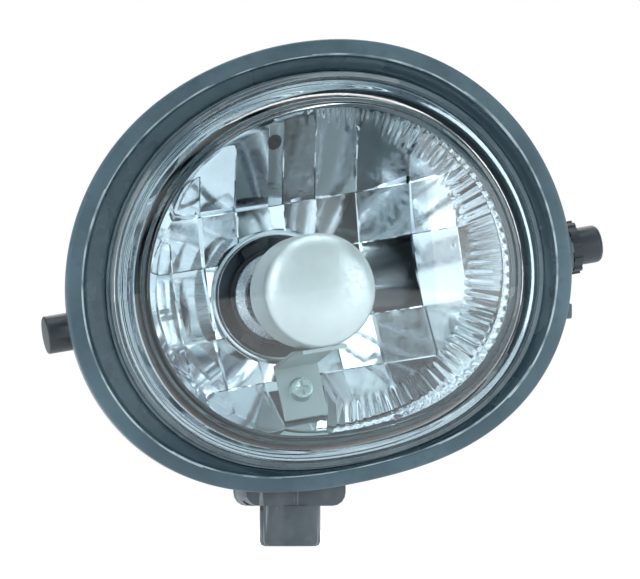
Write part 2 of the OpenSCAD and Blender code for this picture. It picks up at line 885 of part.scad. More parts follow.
module bulb_glass() {
    tip_y = cap_y + 6;
    base_y = hole_y - 7;
    bore = glass_r - 1;
    color([0.85, 0.9, 0.92, 0.4])
        turned(concat(
            [[0, tip_y]],
            [for (i = [1 : 6]) let (a = 90 - 15 * i) [glass_r * cos(a), tip_y + glass_r * (1 - sin(a))]],
            [[glass_r, base_y + 4], [0, base_y + 4], [0, base_y], [bore, base_y - 1]],
            [for (i = [6 : -1 : 0]) let (a = 90 - 15 * i) [bore * cos(a), tip_y + glass_r - bore * sin(a)]]));
}

module bulb_filament() {
    color([0.6, 0.58, 0.5])
        rod_y(filament_y, filament_y + filament_l, 0.7);
}

module bulb_wires() {
    base_y = hole_y - 7;
    wire = 0.35;
    color([0.5, 0.5, 0.52])
        for (side = [-1, 1]) {
            tip = side > 0 ? filament_y - 0.6 : filament_y + filament_l + 0.1;
            translate([side * 2.6, 0, 0])
                rod_y(tip, base_y - 1.2, wire);
            translate([side * 1.5, tip + 0.25, 0])
                cube([2.9, 0.5, 0.7], center = true);
        }
}

module bulb_collar() {
    color([0.7, 0.71, 0.72])
        turned([[glass_r + 0.03, hole_y - 5], [glass_r + 2.2, hole_y - 5], [glass_r + 2.2, lug_y - 2.6],
                [nose_r - 1, lug_y - 1.6], [nose_r - 1, lug_y - 0.6], [glass_r + 0.03, lug_y - 0.6]]);
}

module bulb_base() {
    color([0.09, 0.09, 0.1])
        difference() {
            union() {
                rod_y(lug_y - 0.6, plug_y, nose_r);
                lug_shapes(0, lug_y, lug_y + lug_t, nose_r + lug_out, lug_w);
                rod_y(collar_y + 0.3, plug_y, flange_r);
                translate([-plug_w / 2, plug_y - 0.5, plug_top - plug_l])
                    cube([plug_w, plug_d + 0.5, plug_l]);
                rod_y(plug_y - 0.5, plug_y + plug_d, flange_r * 0.68);
                translate([-3, plug_y + plug_d - 0.2, plug_top - plug_l + 3])
                    cube([6, 1.4, 2]);
            }
            translate([-plug_w / 2 + plug_wall, plug_y + plug_wall, plug_top - plug_l - 1])
                cube([plug_w - 2 * plug_wall, plug_d - 2 * plug_wall, plug_l - 1]);
        }
}

module bulb_terminals() {
    color([0.8, 0.7, 0.45])
        for (side = [-1, 1])
            translate([side * plug_w * 0.24 - 1.4, plug_y + plug_d / 2 - 0.4, plug_top - 2 - plug_l * 0.55])
                cube([2.8, 0.8, plug_l * 0.55]);
}

module bulb_seal() {
    seal_w = 2.6;
    color([0.55, 0.16, 0.12])
        translate([0, socket_y + socket_wall + 0.4 + seal_w / 2, 0])
            rotate([-90, 0, 0])
                rotate_extrude()
                    polygon([[nose_r + 0.02, -seal_w / 2], [seal_r - 0.5, -seal_w / 2], [seal_r, -seal_w / 4],
                             [seal_r, seal_w / 4], [seal_r - 0.5, seal_w / 2], [nose_r + 0.02, seal_w / 2]]);
}

housing();
lens();
lens_seal();
reflector();
reflector_screws();
glare_cap();
cap_strap();
strap_screw();
left_pin();
right_pin();
left_bush();
right_bush();
gear_case();
gear_cover();
case_screws();
cover_screws();
drive_shaft();
drive_pinion();
drive_seal();
gear_nut();
aim_screw();
aim_key();
aim_seal();
bulb_socket();
bulb_glass();
bulb_filament();
bulb_wires();
bulb_collar();
bulb_base();
bulb_seal();
bulb_terminals();
breather_cap();
breather_disc();
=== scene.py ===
import math

import bmesh
import bpy
from mathutils import Matrix, Vector


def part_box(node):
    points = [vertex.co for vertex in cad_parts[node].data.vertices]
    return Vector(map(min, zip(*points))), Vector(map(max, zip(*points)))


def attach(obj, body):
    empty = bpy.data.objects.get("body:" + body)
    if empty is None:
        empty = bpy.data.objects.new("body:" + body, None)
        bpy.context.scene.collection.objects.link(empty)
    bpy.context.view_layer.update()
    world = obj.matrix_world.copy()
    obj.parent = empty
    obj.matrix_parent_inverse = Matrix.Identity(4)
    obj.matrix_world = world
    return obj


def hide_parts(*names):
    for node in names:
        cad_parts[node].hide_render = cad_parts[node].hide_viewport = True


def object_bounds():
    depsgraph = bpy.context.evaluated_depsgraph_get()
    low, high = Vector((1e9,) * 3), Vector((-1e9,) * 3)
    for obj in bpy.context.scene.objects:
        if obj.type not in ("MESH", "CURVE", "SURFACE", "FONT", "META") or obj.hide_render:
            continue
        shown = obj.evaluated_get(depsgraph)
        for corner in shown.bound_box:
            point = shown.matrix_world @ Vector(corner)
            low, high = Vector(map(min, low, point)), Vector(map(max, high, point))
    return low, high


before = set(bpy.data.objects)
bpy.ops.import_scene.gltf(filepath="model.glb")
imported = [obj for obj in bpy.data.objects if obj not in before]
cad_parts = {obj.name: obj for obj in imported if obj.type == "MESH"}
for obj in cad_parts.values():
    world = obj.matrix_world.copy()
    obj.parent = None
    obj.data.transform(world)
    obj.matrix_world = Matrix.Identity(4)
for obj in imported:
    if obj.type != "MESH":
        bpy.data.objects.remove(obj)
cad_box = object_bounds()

# Shapes are worked out in millimetres and scaled when the mesh is made. The beam leaves along -Y.
MM = 0.001

# The egg shape of the rim: half the oval's difference, the bulge, the flattening and their turns
RIM_OVAL, RIM_EGG, RIM_FLAT = 4.2, 1.0, 0.45
OVAL_TURN, EGG_TURN, FLAT_TURN = (math.radians(a) for a in (14.3, 23, 33.1))

# Share of the egg shape that the lens's foot, its face and the reflector take
FOOT_SHARE, FACE_SHARE = 0.72, 0.65

RIM_C, FOOT_C, FACE_C, BOWL_C, SIDE_C = (4, 5.4), (5.6, 4.6), (1.6, 3.5), (4.8, 4.6), (4.2, 4.7)
RIM_R = 53.8
FOOT_R = RIM_R - 7.2
FACE_R = FOOT_R - 6
INNER_R = FOOT_R - 4
SIDE_R = INNER_R + 0.6
BOWL_R = INNER_R - 4.4
WALL = 2.5
ROLL = math.radians(9.6)


def lowest(node):
    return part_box(node)[0] / MM


def highest(node):
    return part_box(node)[1] / MM


RIM_Y = lowest("housing").y
APEX_Y = lowest("lens").y
CAP_Y = lowest("glare_cap").y
CAP_BACK = highest("glare_cap").y
CAP_R = highest("glare_cap").x
SHOULDER_Y = APEX_Y + 4.6
GROOVE_Y = RIM_Y + 4.4
BOWL_Y = RIM_Y - 0.5
HOLE_Y = BOWL_Y + 28.5
FLOOR_Y = HOLE_Y + 2
BACK_Y = FLOOR_Y + WALL
HOLE_R = 13.9
COLLAR_R = 20


# ---------------------------------------------------------------- mesh helpers

def outline(angle, radius, share):
    """Radius of the egg-shaped outline at an angle. A share of 0 gives a circle."""
    egg = RIM_OVAL * math.cos(2 * (angle - OVAL_TURN))
    egg += RIM_EGG * math.cos(3 * (angle + EGG_TURN))
    egg += RIM_FLAT * math.cos(4 * (angle + FLAT_TURN))
    return radius + share * egg


def finished(name, bm, sharp=35):
    """An object from a bmesh drawn in millimetres, shaded smooth up to the sharp angle."""
    bmesh.ops.recalc_face_normals(bm, faces=bm.faces)
    bm.transform(Matrix.Scale(MM, 4))
    mesh = bpy.data.meshes.new(name)
    bm.to_mesh(mesh)
    bm.free()
    mesh.shade_smooth()
    mesh.set_sharp_from_angle(angle=math.radians(sharp))
    made = bpy.data.objects.new(name, mesh)
    bpy.context.scene.collection.objects.link(made)
    return made


def softened(rows, closed=True, arc=5):
    """Rounds the corners of a profile. Each row is (y, radius, share, x, z, size of the rounding)."""
    out = []
    count = len(rows)
    for i, row in enumerate(rows):
        here, size = Vector(row[:5]), row[5] if len(row) > 5 else 0
        inside = closed or 0 < i < count - 1
        if not size or not inside:
            out.append(here)
            continue
        ends = []
        for other in (rows[i - 1], rows[(i + 1) % count]):
            way = Vector(other[:5]) - here
            length = math.hypot(way[0], way[1])
            ends.append(here + way * min(0.5, size / max(length, 1e-6)))
        for s in range(arc):
            t = s / (arc - 1)
            out.append(ends[0].lerp(here, t).lerp(here.lerp(ends[1], t), t))
    return out


def loft(name, rows, closed=True, steps=240, shift=None, sharp=35):
    """A solid whose skin runs through egg-shaped rings. An open run is closed at both ends."""
    bm = bmesh.new()
    rings = []
    for j, (y, radius, share, cx, cz) in enumerate(rows):
        ring = []
        for i in range(steps):
            angle = 2 * math.pi * i / steps
            q = outline(angle, radius, share)
            ahead = shift(j, angle) if shift else 0
            ring.append(bm.verts.new((cx + q * math.cos(angle), y + ahead, cz + q * math.sin(angle))))
        rings.append(ring)
    pairs = list(zip(rings, rings[1:]))
    if closed:
        pairs.append((rings[-1], rings[0]))
    for ring, following in pairs:
        for i in range(steps):
            k = (i + 1) % steps
            bm.faces.new((ring[i], ring[k], following[k], following[i]))
    if not closed:
        for ring in (rings[0], rings[-1]):
            middle = bm.verts.new(sum((v.co for v in ring), Vector()) / steps)
            for i in range(steps):
                bm.faces.new((middle, ring[i], ring[(i + 1) % steps]))
    return finished(name, bm, sharp)


def turned(name, profile, closed=False, steps=96, sharp=35, place=None):
    """A solid turned about the beam from (y, radius, rounding) points, then put in place."""
    rows = [(p[0], p[1], 0, 0, 0, p[2] if len(p) > 2 else 0) for p in profile]
    made = loft(name, softened(rows, closed), closed, steps, None, sharp)
    if place:
        made.data.transform(Matrix.Scale(MM, 4) @ place @ Matrix.Scale(1 / MM, 4))
    return made


def prism(name, points, depth, place=None, bevel=0.3):
    """A flat outline in X and Z, thickened from y = 0 to depth, with rounded edges."""
    bm = bmesh.new()
    front = [bm.verts.new((x, 0, z)) for x, z in points]
    back = [bm.verts.new((x, depth, z)) for x, z in points]
    bm.faces.new(front)
    bm.faces.new(reversed(back))
    for i in range(len(points)):
        k = (i + 1) % len(points)
        bm.faces.new((front[i], back[i], back[k], front[k]))
    bmesh.ops.recalc_face_normals(bm, faces=bm.faces)
    if bevel:
        edges = [e for e in bm.edges if e.calc_face_angle(0) > math.radians(30)]
        bmesh.ops.bevel(bm, geom=edges, offset=bevel, segments=3, profile=0.5, affect="EDGES",
                        clamp_overlap=True)
    if place:
        bm.transform(place)
    return finished(name, bm)


def rounded_box(x, z, radius, arc=6):
    """Outline of a box of half sizes x and z with rounded corners."""
    points = []
    for sx, sz, start in ((1, 1, 0), (-1, 1, 90), (-1, -1, 180), (1, -1, 270)):
        for s in range(arc):
            angle = math.radians(start + 90 * s / (arc - 1))
            points.append((sx * (x - radius) + radius * math.cos(angle),
                           sz * (z - radius) + radius * math.sin(angle)))
    return points


def combine(target, tools, operation, sharp=35):
    """Adds the tools to the target, or cuts them out of it, as one clean solid."""
    for tool in tools:
        step = target.modifiers.new("step", "BOOLEAN")
        step.operation, step.solver, step.object = operation, "EXACT", tool
        evaluated = target.evaluated_get(bpy.context.evaluated_depsgraph_get())
        mesh = bpy.data.meshes.new_from_object(evaluated)
        target.modifiers.clear()
        target.data = mesh
        bpy.data.objects.remove(tool)
    target.data.shade_smooth()
    target.data.set_sharp_from_angle(angle=math.radians(sharp))
    return target


def refined(node, name, bevel=0.25, sharp=32):
    """A copy of a CAD node with its edges rounded, standing for that node."""
    bm = bmesh.new()
    bm.from_mesh(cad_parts[node].data)
    bm.transform(Matrix.Scale(1 / MM, 4))
    bmesh.ops.remove_doubles(bm, verts=bm.verts, dist=0.002)
    bmesh.ops.dissolve_limit(bm, angle_limit=math.radians(1.5), verts=bm.verts, edges=bm.edges)
    edges = [e for e in bm.edges if len(e.link_faces) == 2 and e.calc_face_angle(0) > math.radians(40)]
    if bevel:
        bmesh.ops.bevel(bm, geom=edges, offset=bevel, segments=2, profile=0.5, affect="EDGES",
                        clamp_overlap=True)
    bmesh.ops.remove_doubles(bm, verts=bm.verts, dist=0.002)
    made = finished(name, bm, sharp)
    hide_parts(node)
    return made


# ---------------------------------------------------------------- material helpers

class Shader:
    """A material with one Principled shader and a few ways to drive its sockets."""

    def __init__(self, name, colour, roughness, metallic=0.0, **sockets):
        self.material = bpy.data.materials.new(name)
        self.material.use_nodes = True
        self.tree = self.material.node_tree
        self.shader = self.tree.nodes["Principled BSDF"]
        self.colour = (*colour, 1)
        self.shader.inputs["Base Color"].default_value = self.colour
        self.shader.inputs["Roughness"].default_value = roughness
        self.shader.inputs["Metallic"].default_value = metallic
        for socket, value in sockets.items():
            self.shader.inputs[socket.replace("_", " ")].default_value = value
        self.bumped = None

    def node(self, kind, **values):
        made = self.tree.nodes.new(kind)
        for key, value in values.items():
            if key in made.inputs:
                made.inputs[key].default_value = value
            else:
                setattr(made, key, value)
        return made

    def where(self, stretch=(1, 1, 1), turn=(0, 0, 0)):
        """Object coordinates, stretched so that a pattern can run in streaks."""
        place = self.node("ShaderNodeTexCoord")
        mapping = self.node("ShaderNodeMapping")
        mapping.inputs["Scale"].default_value = stretch
        mapping.inputs["Rotation"].default_value = [math.radians(a) for a in turn]
        self.tree.links.new(place.outputs["Object"], mapping.inputs["Vector"])
        return mapping.outputs["Vector"]

    def noise(self, scale, detail=4, stretch=(1, 1, 1), turn=(0, 0, 0)):
        """Noise with its features about 1 / scale metres wide."""
        made = self.node("ShaderNodeTexNoise", Scale=scale, Detail=detail)
        self.tree.links.new(self.where(stretch, turn), made.inputs["Vector"])
        return made.outputs["Fac"]

    def ramp(self, factor, low, high, start=0.35, end=0.65):
        """A value between low and high as the factor goes from start to end."""
        made = self.node("ShaderNodeMapRange")
        for i, value in enumerate((start, end, low, high)):
            made.inputs[i + 1].default_value = value
        self.tree.links.new(factor, made.inputs[0])
        return made.outputs[0]

    def mottle(self, other, factor):
        """Mixes the base colour towards another by the factor."""
        mix = self.node("ShaderNodeMix", data_type="RGBA")
        mix.inputs[6].default_value = self.colour
        base = self.shader.inputs["Base Color"]
        if base.is_linked:
            self.tree.links.new(base.links[0].from_socket, mix.inputs[6])
        mix.inputs[7].default_value = (*other, 1)
        self.tree.links.new(factor, mix.inputs[0])
        self.tree.links.new(mix.outputs[2], base)

    def rough(self, factor):
        self.tree.links.new(factor, self.shader.inputs["Roughness"])

    def bump(self, height, depth, strength=1.0):
        """Adds relief of a depth in metres on top of any before it."""
        made = self.node("ShaderNodeBump", Strength=strength, Distance=depth)
        self.tree.links.new(height, made.inputs["Height"])
        if self.bumped:
            self.tree.links.new(self.bumped, made.inputs["Normal"])
        self.bumped = made.outputs["Normal"]
        self.tree.links.new(self.bumped, self.shader.inputs["Normal"])


def moulded_plastic(name, colour, worn, roughness=0.42, grain=1800, depth=2e-5):
    """Moulded plastic: fine grain, faint flow marks and slightly uneven gloss."""
    made = Shader(name, colour, roughness)
    clouds = made.noise(60, 5)
    made.mottle(worn, made.ramp(clouds, 0.0, 0.8, 0.4, 0.75))
    streaks = made.noise(260, 3, (1, 0.15, 1))
    made.mottle(tuple(c * 0.6 for c in colour), made.ramp(streaks, 0.0, 0.5, 0.5, 0.8))
    made.rough(made.ramp(clouds, roughness - 0.07, roughness + 0.08))
    made.bump(made.noise(grain, 3), depth, 0.5)
    return made.material


def metal(name, colour, roughness, grain=900, stretch=(1, 1, 1), depth=1e-5, tarnish=0.75):
    """Metal with a brushed or cast grain and slightly uneven tone."""
    made = Shader(name, colour, roughness, 1.0)
    clouds = made.noise(90, 4)
    made.mottle(tuple(c * tarnish for c in colour), made.ramp(clouds, 0.0, 0.6, 0.45, 0.8))
    grains = made.noise(grain, 4, stretch)
    made.rough(made.ramp(grains, roughness * 0.8, roughness * 1.25))
    made.bump(grains, depth, 0.4)
    return made.material


def rim_slope_painted_shade():
    """The polished slope inside the lip: its darker colour is painted shade, and it is glossier in patches.
    """
    made = Shader("rim_slope_painted_shade", (0.027, 0.052, 0.068), 0.26)
    clouds = made.noise(60, 5)
    made.mottle((0.05, 0.09, 0.108), made.ramp(clouds, 0.0, 0.9, 0.42, 0.7))
    made.mottle((0.02, 0.035, 0.048), made.ramp(made.noise(380, 3), 0.0, 0.5, 0.5, 0.8))
    made.rough(made.ramp(clouds, 0.2, 0.34))
    made.bump(made.noise(1500, 3), 1e-5, 0.4)
    return made.material


def lip_edge_painted_highlight():
    """The lip's inner edge, given a pale colour as a painted highlight, darker in patches."""
    made = Shader("lip_edge_painted_highlight", (0.42, 0.5, 0.53), 0.38)
    made.mottle((0.1, 0.15, 0.18), made.ramp(made.noise(160, 5), 0.0, 0.9, 0.45, 0.62))
    made.rough(made.ramp(made.noise(400, 3), 0.3, 0.5))
    return made.material


def rim_plastic():
    """Blue-grey housing plastic with cloudy patches and moulding streaks along the beam."""
    made = Shader("rim_plastic", (0.041, 0.08, 0.104), 0.36)
    clouds = made.noise(45, 6)
    made.mottle((0.072, 0.13, 0.162), made.ramp(clouds, 0.0, 0.9, 0.42, 0.66))
    streaks = made.noise(420, 3, (1, 0.2, 1))
    made.mottle((0.03, 0.055, 0.075), made.ramp(streaks, 0.0, 0.45, 0.52, 0.75))
    made.rough(made.ramp(clouds, 0.3, 0.44))
    made.bump(made.noise(1500, 3), 1.5e-5, 0.5)
    made.bump(made.noise(110, 4), 6e-5, 0.25)
    return made.material


def clear_plastic(name, tint, ior=1.49):
    """Clear plastic or glass with the faintest haze."""
    made = Shader(name, tint, 0.0, Transmission_Weight=1.0, IOR=ior)
    made.rough(made.ramp(made.noise(300, 3), 0.0, 0.03))
    return made.material


def chrome():
    """Vacuum-metallised plastic: nearly a mirror, with a very fine orange-peel."""
    made = Shader("reflector_chrome", (0.88, 0.9, 0.92), 0.05, 1.0)
    made.mottle((0.78, 0.82, 0.85), made.ramp(made.noise(70, 4), 0.0, 0.6))
    made.rough(made.ramp(made.noise(500, 3), 0.03, 0.09))
    made.bump(made.noise(260, 2, (1, 1, 0.25)), 2.5e-5, 0.35)
    return made.material


def satin_metal(name, colour, roughness):
    """Lightly blasted sheet metal with a faint rolled grain."""
    made = Shader(name, colour, roughness, 1.0)
    clouds = made.noise(55, 4)
    made.mottle(tuple(c * 0.86 for c in colour), made.ramp(clouds, 0.0, 0.7, 0.4, 0.7))
    made.rough(made.ramp(made.noise(1400, 4), roughness * 0.85, roughness * 1.2))
    made.bump(made.noise(2600, 3), 6e-6, 0.5)
    made.bump(made.noise(150, 3), 4e-5, 0.15)
    return made.material


def scuffed_plastic():
    """Dark rough plastic of the gear case, with pale scratches and dusty patches."""
    made = Shader("case_plastic", (0.058, 0.078, 0.096), 0.48)
    clouds = made.noise(160, 6)
    made.mottle((0.11, 0.13, 0.145), made.ramp(clouds, 0.0, 1.0, 0.5, 0.72))
    for turn in ((0, 35, 0), (0, -50, 20), (30, 70, 10)):
        marks = made.noise(620, 2, (1, 1, 0.07), turn)
        made.mottle((0.32, 0.35, 0.36), made.ramp(marks, 0.0, 0.8, 0.66, 0.74))
    made.rough(made.ramp(clouds, 0.4, 0.62))
    made.bump(made.noise(1300, 4), 4e-5, 0.6)
    return made.material


MATERIALS = {
    "rim": rim_plastic(),
    # The slope inside the lip, darkened with painted shade
    "slope": rim_slope_painted_shade(),
    # The lip's inner edge, a painted highlight
    "edge": lip_edge_painted_highlight(),
    "lens": clear_plastic("lens_polycarbonate", (0.86, 0.945, 0.975), 1.5),
    "glass": clear_plastic("bulb_quartz", (0.97, 0.99, 1.0), 1.45),
    "chrome": chrome(),
    "cap": satin_metal("cap_satin", (0.77, 0.8, 0.785), 0.46),
    "strap": satin_metal("strap_satin", (0.52, 0.6, 0.6), 0.44),
    "zinc": metal("zinc_plate", (0.62, 0.72, 0.7), 0.32, 1200),
    "steel": metal("steel", (0.56, 0.57, 0.59), 0.28, 1500, (1, 0.1, 1), 3e-6),
    "case": scuffed_plastic(),
    "bush": moulded_plastic("bush_rubber", (0.011, 0.019, 0.026), (0.03, 0.045, 0.056), 0.48, 2200, 4e-5),
    "socket": moulded_plastic("socket_plastic", (0.02, 0.028, 0.04), (0.045, 0.055, 0.07), 0.38),
    "base": moulded_plastic("bulb_base_plastic", (0.012, 0.013, 0.015), (0.03, 0.03, 0.034), 0.45),
    "gear": moulded_plastic("gear_acetal", (0.72, 0.69, 0.6), (0.62, 0.6, 0.52), 0.35, 1500, 1e-5),
    "seal": moulded_plastic("seal_rubber", (0.012, 0.012, 0.012), (0.03, 0.03, 0.03), 0.65, 2500, 4e-5),
    "sealant": moulded_plastic("butyl_sealant", (0.1, 0.15, 0.175), (0.2, 0.27, 0.3), 0.3, 700, 6e-5),
    "silicone": moulded_plastic("ring_silicone", (0.32, 0.045, 0.03), (0.24, 0.03, 0.02), 0.5, 1500, 2e-5),
    "brass": metal("terminal_brass", (0.85, 0.66, 0.35), 0.25),
    "tungsten": metal("tungsten", (0.42, 0.4, 0.38), 0.35),
    "membrane": moulded_plastic("membrane", (0.82, 0.82, 0.8), (0.7, 0.7, 0.68), 0.8, 3000, 3e-5),
}


def dress(piece, look, slot=None, body=None):
    """Gives a piece its material and the body it rides on. The slot is not used."""
    piece.data.materials.clear()
    piece.data.materials.append(MATERIALS[look])
    if body:
        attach(piece, body)
    return piece


# ---------------------------------------------------------------- housing

PIVOT_TILT = math.radians(9.7)


def on_pivot(side):
    """Turns a piece drawn along +Y from the origin onto the pivot line, outwards."""
    out = Vector((side * math.cos(PIVOT_TILT), 0, side * math.sin(PIVOT_TILT)))
    return Vector((0, 1, 0)).rotation_difference(out).to_matrix().to_4x4()


MOUTH_Y = RIM_Y + 2.5
STEP_Y = GROOVE_Y + 2
COLLAR_Y = BACK_Y + 7
BACK_R = HOLE_R + 17.3


def housing_shell():
    """The lip, its flare, the lens's groove, the bucket and the bulb's collar as one closed wall."""
    corner_y = 7
    out_r, in_r = FOOT_R + 0.3, FOOT_R - 2.5
    bore = COLLAR_R - WALL - 0.3
    flare_c = FOOT_C[0] * 0.9, FOOT_C[1] * 0.9
    back_c = FOOT_C[0] * 0.3, FOOT_C[1] * 0.3
    return loft("housing_shell", softened([
        (RIM_Y, RIM_R, 1, *RIM_C, 0.8),
        (RIM_Y, RIM_R - 3.6, 0.95, *RIM_C, 0.45),
        (RIM_Y + 1.2, RIM_R - 4.3, 0.93, *RIM_C, 0.3),
        (MOUTH_Y, out_r + 0.5, FOOT_SHARE, *FOOT_C, 0.5),
        (GROOVE_Y, out_r, FOOT_SHARE, *FOOT_C),
        (GROOVE_Y, in_r, FOOT_SHARE, *FOOT_C),
        (MOUTH_Y, in_r, FOOT_SHARE, *FOOT_C, 0.3),
        (MOUTH_Y, INNER_R, FOOT_SHARE, *FOOT_C, 0.3),
        (STEP_Y, SIDE_R - WALL, FOOT_SHARE, *SIDE_C, 0.8),
        (corner_y, SIDE_R - WALL - 0.3, FOOT_SHARE, *SIDE_C, 2),
        (FLOOR_Y, BACK_R - 0.5, 0.3, *back_c, 2.5),
        (FLOOR_Y, bore, 0, 0, 0, 0.3),
        (COLLAR_Y, bore, 0, 0, 0, 0.5),
        (COLLAR_Y, COLLAR_R, 0, 0, 0, 0.7),
        (BACK_Y, COLLAR_R, 0, 0, 0, 0.8),
        (BACK_Y, BACK_R + 0.6, 0.3, *back_c, 2.2),
        (corner_y + 1.5, SIDE_R - 0.5, FOOT_SHARE, *SIDE_C, 2.5),
        (STEP_Y + 1, SIDE_R, FOOT_SHARE, *SIDE_C, 0.8),
        (STEP_Y, out_r + 1.8, 0.8, *flare_c, 0.8),
        (RIM_Y + 4, out_r + 2, 0.85, *flare_c, 0.6),
        (RIM_Y + 4, RIM_R - 0.2, 1, *RIM_C, 0.9),
    ]), steps=300)


def pivot_arm(side, node):
    """The round boss that carries a bush, and the web between it and the rim."""
    boss_r, web_half, web_depth = 6, 1.2, 7
    bush_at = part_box(f"{node}_bush")
    inner = min(abs(bush_at[0].x), abs(bush_at[1].x)) / MM / math.cos(PIVOT_TILT) + 0.9
    start = outline(PIVOT_TILT + (side < 0) * math.pi, SIDE_R, FOOT_SHARE) + side * SIDE_C[0] - 2
    boss = [(start, 0), (start, boss_r), (inner, boss_r, 0.5), (inner, 0)]
    middle = side * (inner + start) / 2
    turn = Matrix.Rotation(-PIVOT_TILT, 4, "Y")
    return [turned(f"boss_{node}", boss, place=on_pivot(side)),
            prism(f"web_{node}", rounded_box((inner - start) / 2, web_half, 0.3), web_depth,
                  turn @ Matrix.Translation((middle, GROOVE_Y + 0.8, 0)))]


def adjuster_pad():
    """The pad under the bucket that the gear case hangs from."""
    # These keep its faces off the shell's own, where joining the two would fail
    off_x, off_y = 0.013, 1.52
    case_lo, case_hi = lowest("gear_case"), highest("gear_case")
    pad_top = SIDE_C[1] - outline(-math.pi / 2, SIDE_R, FOOT_SHARE) + 1.5
    pad = rounded_box(case_hi.x - 1, (pad_top - case_hi.z) / 2, 0.4)
    place = Matrix.Translation((off_x, case_lo.y + off_y, (pad_top + case_hi.z) / 2))
    return prism("pad", pad, case_hi.y - case_lo.y - 3, place, 0.15)


def gusset(i):
    """One of three pairs of thin triangles between the collar and the back."""
    thick = 1.8
    angle = math.radians(60 + 120 * (i // 2) + 40 * (i % 2 + 1))
    plate = [(COLLAR_R - 1, BACK_Y - 1), (BACK_R - 1, BACK_Y - 1), (COLLAR_R - 1, COLLAR_Y - 1)]
    upright = Matrix(((1, 0, 0, 0), (0, 0, 1, 0), (0, 1, 0, -thick / 2), (0, 0, 0, 1)))
    return prism(f"gusset_{i}", plate, thick, Matrix.Rotation(angle, 4, "Y") @ upright, 0.35)


def locating_tab():
    """The small square tab at the right of the lip."""
    tab_angle, tab_half = math.radians(-9), 1.7
    q = outline(tab_angle, RIM_R, 1)
    place = Matrix.Translation((RIM_C[0] + q * math.cos(tab_angle) - 0.3, MOUTH_Y,
                                RIM_C[1] + q * math.sin(tab_angle)))
    return prism("tab", rounded_box(tab_half, tab_half, 0.5), 3.5, place)


def breather_nipple():
    """The stem that the breather cap sits on."""
    radius, end = 2.2, BACK_Y + 6
    cap_at = (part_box("breather_cap")[0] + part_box("breather_cap")[1]) / 2 / MM
    stem = [(BACK_Y - 1, 0), (BACK_Y - 1, radius), (end, radius, 0.3), (end, 0)]
    return turned("nipple", stem, steps=48, place=Matrix.Translation((cap_at.x, 0, cap_at.z)))


def housing():
    """The whole housing in three finishes: lip and outside, the slope inside the lip darkened with painted
    shade, and the lip's inner edge lightened with a painted highlight.
    """
    lip, highlight_end = 3.3, 3.75
    shell = housing_shell()
    parts = [*pivot_arm(1, "right"), *pivot_arm(-1, "left"), adjuster_pad()]
    parts += [gusset(i) for i in range(6)]
    parts += [locating_tab(), breather_nipple()]
    combine(shell, parts, "UNION")
    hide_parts("housing")
    dress(shell, "rim", "housing_plastic", "lamp")
    # The second material is painted shade for the slope, the third a painted highlight for the lip's inner
    # edge
    shell.data.materials.append(MATERIALS["slope"])
    shell.data.materials.append(MATERIALS["edge"])
    for face in shell.data.polygons:
        x, y, z = face.center / MM
        x, z = x - RIM_C[0], z - RIM_C[1]
        inwards = outline(math.atan2(z, x), RIM_R, 1) - math.hypot(x, z)
        faces_in = x * face.normal.x + z * face.normal.z < 0
        if inwards < lip or y > STEP_Y and not faces_in:
            face.material_index = 0
        elif inwards < highlight_end and y < RIM_Y + 0.5:
            # A painted highlight along the lip's inner edge
            face.material_index = 2
        else:
            # Painted shade on the slope and everything else inside the lip
            face.material_index = 1
    return shell


# ---------------------------------------------------------------- lens

# Ribs in a full turn, of which only the stretch in rib_share shows, and their depth
RIBS = 100
RIB_DEPTH = 0.2


def rib_share(angle, t):
    """How strongly the lens's ribs stand out at an angle and a share t of the face's radius."""
    first, last, longest_at = -100, 112, -5
    longest, outer = 0.735, 0.985
    a = math.degrees(math.atan2(math.sin(angle), math.cos(angle)))
    if not first < a < last:
        return 0
    # The ribs are longest at one angle and start further out on both sides of it, faster above
    past = a - longest_at
    inner = longest + (0.22 * past / 105 if past > 0 else -0.0011 * past)
    fade = min(1, (last - a) / 14, (a - first) / 50)
    return max(0, min(1, (t - inner) / 0.018)) * max(0, min(1, (outer - t) / 0.012)) * fade


